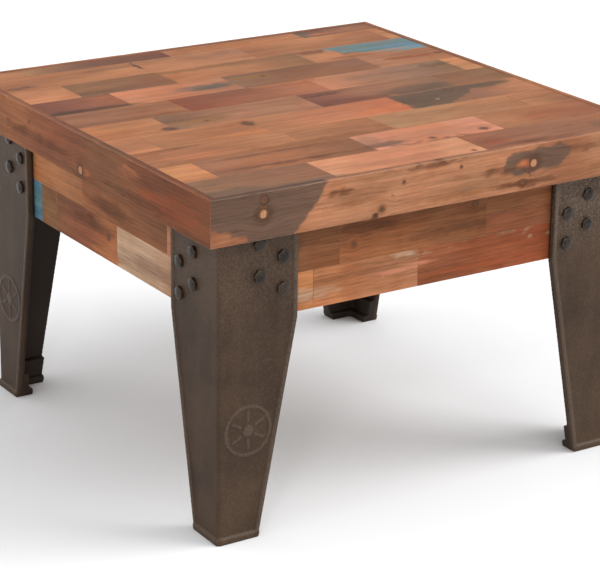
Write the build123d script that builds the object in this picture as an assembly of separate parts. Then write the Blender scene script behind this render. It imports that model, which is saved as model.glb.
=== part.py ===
from build123d import *
import os

# Low square table: a slab and apron clad in offcuts of old timber, on four bolted cast-iron legs.
# Millimetres. The origin is on the floor under the middle of the top. +X runs to the right along
# the front edge, +Y runs to the back and +Z is up.

# Overall sizes
TOP_WIDTH = 650.0
TOP_DEPTH = 650.0
TABLE_HEIGHT = 445.0

# Slab
SLAB_DEPTH = 57.0
EDGE_BOARD = 10.0
STAVE_THICKNESS = 12.0
CORE_THICKNESS = 18.0
BACK_ROW_WIDTH = 33.0
RAIL_WIDTH = 90.0
BATTEN_WIDTH = 60.0
BATTEN_OFFSET = 105.0

# Where the staves of each top row meet, as shares of the row from its left end, back row first
TOP_ROW_JOINTS = [
    (0.10, 0.45, 0.80),
    (0.35, 0.61, 0.97),
    (0.12, 0.35, 0.70, 0.79),
    (0.18, 0.45, 0.80),
    (0.26, 0.60, 0.95),
    (0.165, 0.51, 0.85),
    (0.075, 0.32, 0.67),
    (0.335, 0.545, 0.89),
    (0.075, 0.43, 0.735),
    (0.265, 0.615),
]

# Apron: boards clad in two courses of staves. The right end of the front's upper course is ripped
# into two thinner staves.
APRON_HEIGHT = 111.0
APRON_BOARD = 18.0
CLADDING = 10.0
FRONT_UPPER_COURSE = 62.0
SIDE_UPPER_COURSE = 58.0
RIPPED_STAVE = 36.0

# Where the cladding staves of each course meet, as shares of the course from the left end that
# someone facing that side sees
APRON_JOINTS = {
    "front": {"upper": (0.283, 0.656), "lower": (0.22, 0.48)},
    "back": {"upper": (0.34, 0.71), "lower": (0.25, 0.60)},
    "left": {"upper": (0.405, 0.795), "lower": (0.201, 0.275, 0.57)},
    "right": {"upper": (0.31, 0.66), "lower": (0.18, 0.52, 0.80)},
}

# Corner posts, and cleats between them
POST_SIZE = 40.0
POST_PAST_LAST_BOLT = 9.5
CLEAT_SIZE = 20.0
POST_TO_CLEAT = 25.0

# Cast-iron legs
LEG_INSET = 24.0
PLATE = 8.0
FLANGE_WIDTH = 109.0
FOOT_WIDTH = 56.0
STRAIGHT_EDGE = 113.0
BEAD_WIDTH = 6.0
BEAD_PROUD = 2.0
BEAD_ROUND = 1.4
CORNER_ROUND = 4.0
CORNER_COVE = 6.0
RIM_HEIGHT = 9.0
RIM_PROUD = 3.0
RIM_ROUND = 2.5
HEEL_HEIGHT = 34.0
HEEL_THICKNESS = 16.0
SOLE_HEIGHT = 10.0
SOLE_THICKNESS = 23.0
STEP_ROUND = 2.5

# Round mark cast on the first flange of each leg: a ring, spokes and a boss
MARK_FROM_CORNER = 41.0
MARK_LEVEL = 142.0
MARK_RADIUS = 32.5
MARK_LINE = 3.0
MARK_PROUD = 1.2
MARK_BOSS = 7.0
MARK_SPOKES = 6
MARK_SPOKE_WIDTH = 2.4
MARK_SPOKE_GAP = 4.0

# Leg bolts: two columns of two through each flange. The outer column is lower by the stagger, and
# the second flange's bolts are lower than the first's, so that the two sets pass each other.
BOLT_DIAMETER = 8.0
BOLT_CLEARANCE = 0.5
INNER_COLUMN = 56.0
OUTER_COLUMN = 88.0
FIRST_BOLT = 13.0
BOLT_PITCH = 40.0
BOLT_STAGGER = 20.5
FLANGE_SHIFT = 17.0
HEAD_FLATS = 15.0
HEAD_HEIGHT = 5.5
HEAD_CROWN = 18.5
WASHER_RADIUS = 8.0
WASHER_THICKNESS = 1.6
NUT_FLATS = 13.0
NUT_HEIGHT = 6.8
THREAD_CLEARANCE = 0.05
BOLT_STICK_OUT = 2.5

# Wood screws, with their places as shares of the half length of the piece they hold. A screw is
# as long as the piece that it goes through and its bite in the next one.
SCREW_RADIUS = 2.0
SCREW_HEAD_RADIUS = 4.0
SCREW_CLEARANCE = 0.1
RAIL_SCREW_BITE = 11.0
RAIL_SCREWS = (-0.7, 0.0, 0.7)
CLEAT_SCREW_BITE = 12.0
CLEAT_SCREWS_UP = (-0.9, 0.0, 0.9)
CLEAT_SCREWS_OUT = (-0.6, 0.15, 0.6)
POST_SCREW_BITE = 12.0
POST_SCREW_EDGE = 7.0

# How far each screw through a post and a flange's board is below a bolt of the other flange, which
# it crosses: the bolt, counted from the top, and the distance
POST_SCREWS = {"first": ((0, 11.0), (1, 22.0)), "second": ((1, 9.0), (1, 31.0))}

# Wood plugs in the edge boards: side, distance from the side's left end, drop from the top
PLUG_RADIUS = 5.5
PLUG_DEPTH = 7.0
PLUGS = [("front", 70.0, 26.0), ("front", 461.0, 24.0), ("left", 331.0, 46.0)]

# Levels and insets that follow from the sizes above
SLAB_BOTTOM = TABLE_HEIGHT - SLAB_DEPTH
STAVE_BOTTOM = TABLE_HEIGHT - STAVE_THICKNESS
CORE_BOTTOM = STAVE_BOTTOM - CORE_THICKNESS
APRON_BOTTOM = SLAB_BOTTOM - APRON_HEIGHT
TAPER_TOP = SLAB_BOTTOM - STRAIGHT_EDGE
CLADDING_INSET = LEG_INSET + PLATE
BOARD_INSET = CLADDING_INSET + CLADDING
POST_INSET = BOARD_INSET + APRON_BOARD
POST_HEIGHT = FIRST_BOLT + FLANGE_SHIFT + BOLT_STAGGER + BOLT_PITCH + POST_PAST_LAST_BOLT
CLEAT_INSET = POST_INSET + CLEAT_SIZE
RAIL_INNER = EDGE_BOARD + RAIL_WIDTH
POST_START = POST_INSET - LEG_INSET
POST_END = POST_START + POST_SIZE

SIDES = ("front", "back", "left", "right")
LONG_SIDES = ("front", "back")
CORNERS = {"front_left": 0, "front_right": 90, "back_right": 180, "back_left": 270}
FLANGES = {"first": 0.0, "second": FLANGE_SHIFT}


# Places: a side's own frame has its zero on the floor under the middle of the slab's edge, X to
# the right as seen from outside and Y inwards. A corner's own frame has its zero on the floor
# under the leg's outer corner, X along the first flange and Y along the second.

def half_length(side):
    """Half the slab's length along a side."""
    return (TOP_WIDTH if side in LONG_SIDES else TOP_DEPTH) / 2


def on_side(side, shape):
    """Move a shape from a side's own frame to the table's."""
    place = {
        "front": Pos(0, -TOP_DEPTH / 2, 0),
        "back": Pos(0, TOP_DEPTH / 2, 0) * Rot(0, 0, 180),
        "left": Pos(-TOP_WIDTH / 2, 0, 0) * Rot(0, 0, -90),
        "right": Pos(TOP_WIDTH / 2, 0, 0) * Rot(0, 0, 90),
    }[side]
    return place * shape


def at_corner(corner, shape):
    """Move a shape from a corner's own frame to the table's."""
    x = (TOP_WIDTH / 2 - LEG_INSET) * (-1 if corner.endswith("left") else 1)
    y = (TOP_DEPTH / 2 - LEG_INSET) * (-1 if corner.startswith("front") else 1)
    return Pos(x, y, 0) * Rot(0, 0, CORNERS[corner]) * shape


def swap_flanges(shape):
    """Mirror a shape from the first flange to the second."""
    return mirror(shape, about=Plane(origin=(0, 0, 0), z_dir=(1, -1, 0)))


def on_flange(flange, shape):
    """Put a shape built on the first flange on either of them."""
    return shape if flange == "first" else swap_flanges(shape)


def block(low, high):
    """A rectangular block between two opposite corners."""
    size = [top - bottom for bottom, top in zip(low, high)]
    centre = [(top + bottom) / 2 for bottom, top in zip(low, high)]
    return Pos(*centre) * Box(*size)


def pieces_between(start, end, joints):
    """The start and end of each piece of a run that is cut at the joints."""
    cuts = [start] + [start + (end - start) * share for share in joints] + [end]
    return list(zip(cuts, cuts[1:]))


def cut_holes(shape, holes):
    """Cut those holes in a piece whose boxes meet the piece's box."""
    box = shape.bounding_box()
    for hole in holes:
        other = hole.bounding_box()
        clear_before = [high < low for high, low in zip(tuple(box.max), tuple(other.min))]
        clear_after = [high < low for high, low in zip(tuple(other.max), tuple(box.min))]
        if not any(clear_before + clear_after):
            shape = shape - hole
    return shape


# Fasteners, each along +Z with its head's seat on the XY plane

def hexagon(flats):
    """A hexagon given by its width across flats."""
    return RegularPolygon(flats / 2, 6, major_radius=False)


def leg_bolt(grip):
    """A hexagon bolt with a crowned head and a plain shank."""
    length = grip + WASHER_THICKNESS + NUT_HEIGHT + BOLT_STICK_OUT
    prism = Pos(0, 0, -HEAD_HEIGHT) * extrude(hexagon(HEAD_FLATS), HEAD_HEIGHT)
    head = prism & (Pos(0, 0, HEAD_CROWN - HEAD_HEIGHT) * Sphere(HEAD_CROWN))
    return head + extrude(Circle(BOLT_DIAMETER / 2), length)


def washer(grip):
    """A flat washer at the far end of a bolt's grip."""
    hole = Circle(BOLT_DIAMETER / 2 + BOLT_CLEARANCE)
    return Pos(0, 0, grip) * extrude(Circle(WASHER_RADIUS) - hole, WASHER_THICKNESS)


def nut(grip):
    """A hexagon nut on the washer."""
    hole = Circle(BOLT_DIAMETER / 2 + THREAD_CLEARANCE)
    return Pos(0, 0, grip + WASHER_THICKNESS) * extrude(hexagon(NUT_FLATS) - hole, NUT_HEIGHT)


def bolt_hole(grip):
    """The hole for one bolt, through all that it holds."""
    return Pos(0, 0, -PLATE) * extrude(Circle(BOLT_DIAMETER / 2 + BOLT_CLEARANCE), grip + 2 * PLATE)


def screw(length, clearance=0.0):
    """A countersunk screw with its head flush, or the hole that it fits."""
    neck = SCREW_HEAD_RADIUS - SCREW_RADIUS
    head = Pos(0, 0, neck / 2) * Cone(SCREW_HEAD_RADIUS + clearance, SCREW_RADIUS + clearance, neck)
    return head + extrude(Circle(SCREW_RADIUS + clearance), length + clearance)


def on_all_bolts(make, corner):
    """Make one piece for each leg bolt of a corner, where that bolt is."""
    board_grip = PLATE + CLADDING + APRON_BOARD
    columns = ((INNER_COLUMN, 0.0, board_grip + POST_SIZE), (OUTER_COLUMN, BOLT_STAGGER, board_grip))
    pieces = []
    for flange, shift in FLANGES.items():
        for column, stagger, grip in columns:
            for step in range(2):
                level = SLAB_BOTTOM - FIRST_BOLT - shift - stagger - step * BOLT_PITCH
                laid = Pos(column, 0, level) * Rot(-90, 0, 0) * make(grip)
                pieces.append(at_corner(corner, on_flange(flange, laid)))
    return pieces


def rail_screws(clearance=0.0):
    """Screws up through the rails and battens into the core panel."""
    made = screw(CORE_BOTTOM - SLAB_BOTTOM + RAIL_SCREW_BITE, clearance)
    inset = (CLEAT_INSET + RAIL_INNER) / 2
    screws = []
    for share in RAIL_SCREWS:
        for side in SIDES:
            along = share * (half_length(side) - RAIL_INNER)
            screws.append(on_side(side, Pos(along, inset, SLAB_BOTTOM) * made))
        for x in (-BATTEN_OFFSET, BATTEN_OFFSET):
            screws.append(Pos(x, share * (TOP_DEPTH / 2 - RAIL_INNER), SLAB_BOTTOM) * made)
    return screws


def cleat_half_length(side):
    """Half the length of the cleat on a side."""
    return half_length(side) - POST_INSET - POST_SIZE - POST_TO_CLEAT


def cleat_screws(clearance=0.0):
    """Screws up through each cleat into its rail, and out through it into its apron board."""
    made = screw(CLEAT_SIZE + CLEAT_SCREW_BITE, clearance)
    screws = []
    for side in SIDES:
        for share in CLEAT_SCREWS_UP:
            foot = Pos(share * cleat_half_length(side), POST_INSET + CLEAT_SIZE / 2, SLAB_BOTTOM - CLEAT_SIZE)
            screws.append(on_side(side, foot * made))
        for share in CLEAT_SCREWS_OUT:
            foot = Pos(share * cleat_half_length(side), CLEAT_INSET, SLAB_BOTTOM - CLEAT_SIZE / 2)
            screws.append(on_side(side, foot * Rot(90, 0, 0) * made))
    return screws


def post_screws(clearance=0.0):
    """Screws out through each corner post into both of its apron boards."""
    made = screw(POST_SIZE + POST_SCREW_BITE, clearance)
    screws = []
    for corner in CORNERS:
        for flange, crossed in (("first", "second"), ("second", "first")):
            for bolt, below in POST_SCREWS[flange]:
                drop = FIRST_BOLT + FLANGES[crossed] + bolt * BOLT_PITCH + below
                foot = Pos(POST_START + POST_SCREW_EDGE, POST_END, SLAB_BOTTOM - drop)
                screws.append(at_corner(corner, on_flange(flange, foot * Rot(90, 0, 0) * made)))
    return screws


def plugs():
    """Turned wood plugs set flush in the edge boards, by side."""
    made = {side: [] for side in SIDES}
    for side, distance, drop in PLUGS:
        foot = Pos(distance - half_length(side), PLUG_DEPTH, TABLE_HEIGHT - drop)
        made[side].append(on_side(side, foot * Rot(90, 0, 0) * extrude(Circle(PLUG_RADIUS), PLUG_DEPTH)))
    return made


# Slab

def core_panel():
    """The board that the staves of the top are glued to."""
    x = TOP_WIDTH / 2 - EDGE_BOARD
    y = TOP_DEPTH / 2 - EDGE_BOARD
    return block((-x, -y, CORE_BOTTOM), (x, y, STAVE_BOTTOM))


def top_row(index):
    """The staves of one row of the top, the narrow row first at the back."""
    x = TOP_WIDTH / 2 - EDGE_BOARD
    back = TOP_DEPTH / 2 - EDGE_BOARD
    full_width = (2 * back - BACK_ROW_WIDTH) / (len(TOP_ROW_JOINTS) - 1)
    high = back if index == 0 else back - BACK_ROW_WIDTH - (index - 1) * full_width
    low = high - (BACK_ROW_WIDTH if index == 0 else full_width)
    return [block((start, low, STAVE_BOTTOM), (end, high, TABLE_HEIGHT))
            for start, end in pieces_between(-x, x, TOP_ROW_JOINTS[index])]


def edge_board(side, holes):
    """One edge board, mitred at both ends, with the holes for its plugs."""
    half = half_length(side)
    inner = half - EDGE_BOARD
    outline = make_face(Polyline((-half, 0), (half, 0), (inner, EDGE_BOARD), (-inner, EDGE_BOARD), close=True))
    board = on_side(side, Pos(0, 0, SLAB_BOTTOM) * extrude(outline, SLAB_DEPTH))
    return cut_holes(board, holes)


def rail(side, holes):
    """An underframe rail. The front and back ones run the whole width inside the edge boards."""
    half = half_length(side) - (EDGE_BOARD if side in LONG_SIDES else RAIL_INNER)
    board = block((-half, EDGE_BOARD, SLAB_BOTTOM), (half, RAIL_INNER, CORE_BOTTOM))
    return cut_holes(on_side(side, board), holes)


def batten(x, holes):
    """A cross batten between the front and back rails."""
    y = TOP_DEPTH / 2 - RAIL_INNER
    low = (x - BATTEN_WIDTH / 2, -y, SLAB_BOTTOM)
    return cut_holes(block(low, (x + BATTEN_WIDTH / 2, y, CORE_BOTTOM)), holes)


# Apron

def apron_board(side, holes):
    """The board behind the cladding. The front and back ones cover the ends of the others."""
    half = half_length(side) - (BOARD_INSET if side in LONG_SIDES else POST_INSET)
    board = block((-half, BOARD_INSET, APRON_BOTTOM), (half, POST_INSET, SLAB_BOTTOM))
    return cut_holes(on_side(side, board), holes)


def cove_relief(corner):
    """What a corner of the cladding loses so that it clears the cove inside the leg."""
    outline = Polyline((PLATE, PLATE), (PLATE + CORNER_COVE, PLATE), (PLATE, PLATE + CORNER_COVE), close=True)
    return at_corner(corner, Pos(0, 0, APRON_BOTTOM) * extrude(make_face(outline), APRON_HEIGHT))


def apron_staves(side, course, holes):
    """The cladding staves of one course of an apron."""
    half = half_length(side) - (CLADDING_INSET if side in LONG_SIDES else BOARD_INSET)
    upper = FRONT_UPPER_COURSE if side in LONG_SIDES else SIDE_UPPER_COURSE
    top = SLAB_BOTTOM if course == "upper" else SLAB_BOTTOM - upper
    bottom = SLAB_BOTTOM - upper if course == "upper" else APRON_BOTTOM
    spans = [(start, end, bottom, top)
             for start, end in pieces_between(-half, half, APRON_JOINTS[side][course])]
    if (side, course) == ("front", "upper"):
        start, end, bottom, top = spans.pop()
        spans += [(start, end, top - RIPPED_STAVE, top), (start, end, bottom, top - RIPPED_STAVE)]
    staves = [on_side(side, block((start, CLADDING_INSET, low), (end, BOARD_INSET, high)))
              for start, end, low, high in spans]
    return [cut_holes(stave, holes) for stave in staves]


def corner_post(corner, holes):
    """The square post inside a corner of the apron."""
    post = block((POST_START, POST_START, SLAB_BOTTOM - POST_HEIGHT), (POST_END, POST_END, SLAB_BOTTOM))
    return cut_holes(at_corner(corner, post), holes)


def cleat(side, holes):
    """The strip that joins an apron board to its rail."""
    half = cleat_half_length(side)
    strip = block((-half, POST_INSET, SLAB_BOTTOM - CLEAT_SIZE), (half, CLEAT_INSET, SLAB_BOTTOM))
    return cut_holes(on_side(side, strip), holes)


# Legs

def angle_section(thickness, proud, outer_radius):
    """The L section of a leg, rounded at the outer corner and coved in the inner one."""
    outline = Polyline((-proud, -proud), (FLANGE_WIDTH, -proud), (FLANGE_WIDTH, thickness),
                       (thickness, thickness), (thickness, FLANGE_WIDTH), (-proud, FLANGE_WIDTH), close=True)
    section = make_face(outline)
    section = fillet(section.vertices().sort_by_distance((-proud, -proud, 0))[0], outer_radius)
    return fillet(section.vertices().sort_by_distance((thickness, thickness, 0))[0], CORNER_COVE)


def foot_step(height, thickness):
    """A stepped thickening inside the foot, with its inner top edges rounded."""
    step = extrude(angle_section(thickness, 0, CORNER_ROUND), height)
    inner = [edge for edge in step.edges().group_by(Axis.Z)[-1]
             if min(edge.center().X, edge.center().Y) > thickness / 2
             and max(edge.center().X, edge.center().Y) < FLANGE_WIDTH - thickness / 2]
    return fillet(inner, STEP_ROUND)


def foot_rim():
    """The plinth rim outside the foot, with its top edge rounded."""
    rim = extrude(angle_section(PLATE, RIM_PROUD, CORNER_ROUND + RIM_PROUD), RIM_HEIGHT)
    outer = [edge for edge in rim.edges().group_by(Axis.Z)[-1]
             if min(edge.center().X, edge.center().Y) < 0
             and max(edge.center().X, edge.center().Y) < FLANGE_WIDTH - PLATE]
    return fillet(outer, RIM_ROUND)


def taper_cutter():
    """What the taper takes off the first flange."""
    reach = 2 * FLANGE_WIDTH
    outline = make_face(Polyline((FOOT_WIDTH, 0), (reach, 0), (reach, TAPER_TOP), (FLANGE_WIDTH, TAPER_TOP),
                                 close=True))
    return Pos(0, FLANGE_WIDTH / 2, 0) * extrude(Plane.XZ * outline, FLANGE_WIDTH)


def bead():
    """The raised band along the first flange's free edge, rounded on its face."""
    drift = BEAD_WIDTH * ((TAPER_TOP**2 + (FLANGE_WIDTH - FOOT_WIDTH)**2) ** 0.5 / TAPER_TOP)
    outline = make_face(Polyline((FOOT_WIDTH, 0), (FLANGE_WIDTH, TAPER_TOP), (FLANGE_WIDTH, SLAB_BOTTOM),
                                 (FLANGE_WIDTH - BEAD_WIDTH, SLAB_BOTTOM),
                                 (FLANGE_WIDTH - BEAD_WIDTH, TAPER_TOP),
                                 (FOOT_WIDTH - drift, 0), close=True))
    band = Pos(0, -BEAD_PROUD, 0) * extrude(Plane.XZ * outline, -(BEAD_PROUD + PLATE / 2))
    face_edges = [edge for edge in band.edges().group_by(Axis.Y)[0] if edge.length > 2 * BEAD_WIDTH]
    return fillet(face_edges, BEAD_ROUND)


def leg_mark():
    """The round mark on the first flange: a ring, spokes and a boss."""
    shape = Circle(MARK_RADIUS) - Circle(MARK_RADIUS - MARK_LINE) + Circle(MARK_BOSS)
    inner = MARK_BOSS + MARK_SPOKE_GAP
    spoke_length = MARK_RADIUS - MARK_LINE - MARK_SPOKE_GAP - inner
    for turn in range(MARK_SPOKES):
        spoke = Pos(inner + spoke_length / 2, 0) * Rectangle(spoke_length, MARK_SPOKE_WIDTH)
        shape += Rot(0, 0, turn * 360 / MARK_SPOKES + 360 / MARK_SPOKES / 2) * spoke
    stamp = extrude(shape, MARK_PROUD + PLATE / 2)
    return Pos(MARK_FROM_CORNER, PLATE / 2, MARK_LEVEL) * Rot(90, 0, 0) * stamp


def leg_casting():
    """One leg in its corner's own frame, without its bolt holes."""
    body = extrude(angle_section(PLATE, 0, CORNER_ROUND), SLAB_BOTTOM)
    body += foot_step(HEEL_HEIGHT, HEEL_THICKNESS)
    body += foot_step(SOLE_HEIGHT, SOLE_THICKNESS)
    body += foot_rim()
    body -= taper_cutter()
    body -= swap_flanges(taper_cutter())
    body += bead()
    body += swap_flanges(bead())
    return body + leg_mark()


def save(name, shape):
    """Write one node, of one solid or of several like ones."""
    solids = shape if isinstance(shape, list) else [shape]
    export_step(Compound(children=[solid for piece in solids for solid in piece.solids()]),
                f"parts/{name}.step")


def main():
    """Make every piece of the table and write it."""
    os.makedirs("parts", exist_ok=True)
    plug_sets = plugs()
    slab_holes = rail_screws(SCREW_CLEARANCE) + cleat_screws(SCREW_CLEARANCE)
    apron_holes = cleat_screws(SCREW_CLEARANCE) + post_screws(SCREW_CLEARANCE)
    bolt_holes = [hole for corner in CORNERS for hole in on_all_bolts(bolt_hole, corner)]
    cladding_cuts = bolt_holes + [cove_relief(corner) for corner in CORNERS]

    save("core_panel", cut_holes(core_panel(), slab_holes))
    for index in range(len(TOP_ROW_JOINTS)):
        save(f"top_stave_row_{index + 1:02d}", top_row(index))
    for side in SIDES:
        save(f"{side}_edge_board", edge_board(side, plug_sets[side]))
        save(f"{side}_rail", rail(side, slab_holes))
        save(f"{side}_apron_board", apron_board(side, apron_holes + bolt_holes))
        save(f"{side}_cleat", cleat(side, cleat_screws(SCREW_CLEARANCE)))
        for course in ("upper", "lower"):
            save(f"{side}_apron_{course}_staves", apron_staves(side, course, cladding_cuts))
    save("left_batten", batten(-BATTEN_OFFSET, slab_holes))
    save("right_batten", batten(BATTEN_OFFSET, slab_holes))

    casting = leg_casting()
    for corner in CORNERS:
        leg = at_corner(corner, casting)
        save(f"{corner}_leg", cut_holes(leg, on_all_bolts(bolt_hole, corner)))
        save(f"{corner}_post", corner_post(corner, apron_holes + bolt_holes))
        save(f"{corner}_leg_bolts", on_all_bolts(leg_bolt, corner))
    save("bolt_washers", [piece for corner in CORNERS for piece in on_all_bolts(washer, corner)])
    save("bolt_nuts", [piece for corner in CORNERS for piece in on_all_bolts(nut, corner)])
    save("rail_screws", rail_screws())
    save("cleat_screws", cleat_screws())
    save("post_screws", post_screws())
    save("edge_board_plugs", [plug for side in SIDES for plug in plug_sets[side]])


main()
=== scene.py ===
import math

import bmesh
import bpy
import numpy as np
from mathutils import Euler, Matrix, Vector, noise


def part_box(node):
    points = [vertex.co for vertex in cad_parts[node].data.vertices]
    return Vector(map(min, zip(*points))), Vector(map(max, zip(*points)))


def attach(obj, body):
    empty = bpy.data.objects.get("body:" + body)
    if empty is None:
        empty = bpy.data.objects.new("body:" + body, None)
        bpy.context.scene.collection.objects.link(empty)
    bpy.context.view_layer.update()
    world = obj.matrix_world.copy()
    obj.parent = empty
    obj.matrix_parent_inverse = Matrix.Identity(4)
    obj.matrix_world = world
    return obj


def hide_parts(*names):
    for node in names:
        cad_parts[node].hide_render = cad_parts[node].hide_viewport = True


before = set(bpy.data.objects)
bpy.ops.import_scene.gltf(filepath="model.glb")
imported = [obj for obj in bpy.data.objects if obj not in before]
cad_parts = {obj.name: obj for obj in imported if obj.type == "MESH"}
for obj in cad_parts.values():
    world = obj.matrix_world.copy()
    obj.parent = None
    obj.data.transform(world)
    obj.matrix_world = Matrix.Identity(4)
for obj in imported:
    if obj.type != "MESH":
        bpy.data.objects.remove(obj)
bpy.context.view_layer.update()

# ---- Top: rows of reclaimed staves -----------------------------------------------------------------
# Offcuts of old painted and oiled boards, planed to one thickness, butted end to end in ten rows
# and glued to the core panel. Each is a little out of level, with worn arrises and a fine dark
# joint round it.

MM = 0.001
ARRIS = 0.45 * MM
JOINT = 0.07 * MM
WAVINESS = 0.22 * MM
OUT_OF_LEVEL = 0.25 * MM
CELL = 4.0 * MM
LEAST_CELLS = (12, 8)
DEEP_CELLS = 5
SAME_POINT = 0.05 * MM
STAIN_WANDER = 3.5
STAIN_EDGE = (-1.5, 3.5)
STAIN_FADE = (0.5, 1.2)
GAMMA = 2.2
OILED = (0.67, 0.54, 0.40)

WOODS = {
    "pale peach": (211, 160, 133), "light orange": (194, 142, 106), "peach tan": (186, 134, 104),
    "tan": (176, 128, 98), "orange tan": (182, 126, 90), "warm brown": (160, 112, 84),
    "brown": (140, 100, 76), "dark brown": (104, 72, 56), "grey brown": (134, 106, 88),
    "olive tan": (168, 134, 106), "olive brown": (140, 108, 82), "mauve brown": (148, 108, 90),
    "mauve tan": (172, 128, 106), "plum": (118, 76, 68), "plum brown": (128, 90, 76), "rust": (150, 86, 62),
    "rust brown": (148, 98, 76), "salmon": (200, 142, 118), "salmon tan": (184, 126, 100),
    "red orange": (190, 120, 90), "pink": (208, 150, 134), "pink grey": (152, 122, 110),
    "slate": (104, 91, 88), "blue slate": (98, 100, 100), "olive slate": (101, 89, 80),
    "teal": (100, 146, 172), "teal blue": (94, 148, 192), "chalk": (204, 188, 178),
    "faded peach": (185, 140, 118), "faded tan": (176, 135, 114), "faded brown": (160, 117, 97),
    "umber": (132, 87, 64), "soot": (72, 59, 54), "new pine": (196, 156, 112), "new oak": (176, 134, 92),
}


class Field:
    """A value in a node tree. Arithmetic on it adds Math nodes."""

    def __init__(self, tree, socket):
        self.tree, self.socket = tree, socket

    def math(self, operation, *others):
        return self.tree.add("ShaderNodeMath", enumerate((self, *others)), operation=operation)

    def __add__(self, other):
        return self.math("ADD", other)

    def __sub__(self, other):
        return self.math("SUBTRACT", other)

    def __rsub__(self, other):
        return self.tree.add("ShaderNodeMath", {0: other, 1: self}, operation="SUBTRACT")

    def __mul__(self, other):
        return self.math("MULTIPLY", other)

    def __truediv__(self, other):
        return self.math("DIVIDE", other)

    def __rtruediv__(self, other):
        return self.tree.add("ShaderNodeMath", {0: other, 1: self}, operation="DIVIDE")

    def above(self, limit):
        return self.math("GREATER_THAN", limit)

    def line(self, slope, start):
        return self.math("MULTIPLY_ADD", slope, start)

    def steps(self, low, high, to_low=0.0, to_high=1.0):
        """A smooth step from to_low at low to to_high at high."""
        return self.tree.add("ShaderNodeMapRange", {0: self, 1: low, 2: high, 3: to_low, 4: to_high},
                             interpolation_type="SMOOTHSTEP")


class Tree:
    """A node tree and the means to build it."""

    def __init__(self, tree):
        self.tree = tree

    def add(self, kind, feeds=(), out=None, **settings):
        """Add a node, set it up, feed its inputs, and give its named or first output."""
        made = self.tree.nodes.new(kind)
        for name, value in settings.items():
            setattr(made, name, value)
        for key, value in dict(feeds).items():
            if isinstance(value, Field):
                self.tree.links.new(value.socket, made.inputs[key])
            else:
                made.inputs[key].default_value = value
        return Field(self, made.outputs[out] if out else next(o for o in made.outputs if o.enabled))

    def vector(self, operation, *values, out=None):
        return self.add("ShaderNodeVectorMath", enumerate(values), out, operation=operation)

    def scale(self, vector, factor):
        return self.add("ShaderNodeVectorMath", {0: vector, "Scale": factor}, operation="SCALE")

    def combine(self, x=0.0, y=0.0, z=0.0):
        return self.add("ShaderNodeCombineXYZ", {"X": x, "Y": y, "Z": z})

    def split(self, vector):
        parted = self.add("ShaderNodeSeparateXYZ", {"Vector": vector}).socket.node
        return [Field(self, out) for out in parted.outputs]

    def noise(self, vector, stretch, detail=3.0, rough=0.55, distortion=0.0):
        """Noise drawn out along the grain."""
        return self.add("ShaderNodeTexNoise", {
            "Vector": self.vector("MULTIPLY", vector, stretch), "Scale": 1.0, "Detail": detail,
            "Roughness": rough, "Distortion": distortion})

    def mix(self, factor, first, second, blend="MIX"):
        return self.add("ShaderNodeMix", {0: factor, 6: first, 7: second}, data_type="RGBA", blend_type=blend)

    def tint(self, factor, colour, shade):
        """A colour multiplied by a shade where the factor says."""
        return self.mix(factor, colour, self.mix(1.0, colour, shade, "MULTIPLY"))


class Group(Tree):
    """A Geometry Nodes tree with named inputs, which the fields in given read."""

    def __init__(self, name, inputs):
        super().__init__(bpy.data.node_groups.new(name, "GeometryNodeTree"))
        for label, kind in inputs:
            self.tree.interface.new_socket(name=label, in_out="INPUT", socket_type="NodeSocket" + kind)
        self.tree.interface.new_socket(name="Geometry", in_out="OUTPUT", socket_type="NodeSocketGeometry")
        start = self.tree.nodes.new("NodeGroupInput")
        self.given = {out.name: Field(self, out) for out in start.outputs}

    def named(self, name, kind):
        return self.add("GeometryNodeInputNamedAttribute", {"Name": name}, data_type=kind)

    def finish(self, geometry):
        """Give the geometry its material and send it out."""
        painted = self.add("GeometryNodeSetMaterial", {"Geometry": geometry,
                                                       "Material": self.given["Material"]})
        end = self.tree.nodes.new("NodeGroupOutput")
        self.tree.links.new(painted.socket, end.inputs["Geometry"])
        return self.tree


class Surface(Tree):
    """A new material and its main shader."""

    def __init__(self, name, roughness, metallic=0.0, specular=0.5):
        self.material = bpy.data.materials.new(name)
        self.material.use_nodes = True
        super().__init__(self.material.node_tree)
        self.shader = self.tree.nodes["Principled BSDF"].inputs
        self.shader["Roughness"].default_value = roughness
        self.shader["Metallic"].default_value = metallic
        self.shader["Specular IOR Level"].default_value = specular

    def attribute(self, name, out="Fac"):
        return self.add("ShaderNodeAttribute", out=out, attribute_name=name)

    def place(self):
        return self.add("ShaderNodeTexCoord", out="Object")

    def finish(self, colour, height=None, strength=0.0, distance=0.0, gloss=None):
        """Feed the shader and return the material."""
        self.tree.links.new(colour.socket, self.shader["Base Color"])
        if gloss:
            self.tree.links.new(gloss.socket, self.shader["Roughness"])
        if height:
            bump = self.add("ShaderNodeBump", {"Strength": strength, "Distance": distance, "Height": height})
            self.tree.links.new(bump.socket, self.shader["Normal"])
        return self.material


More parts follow.
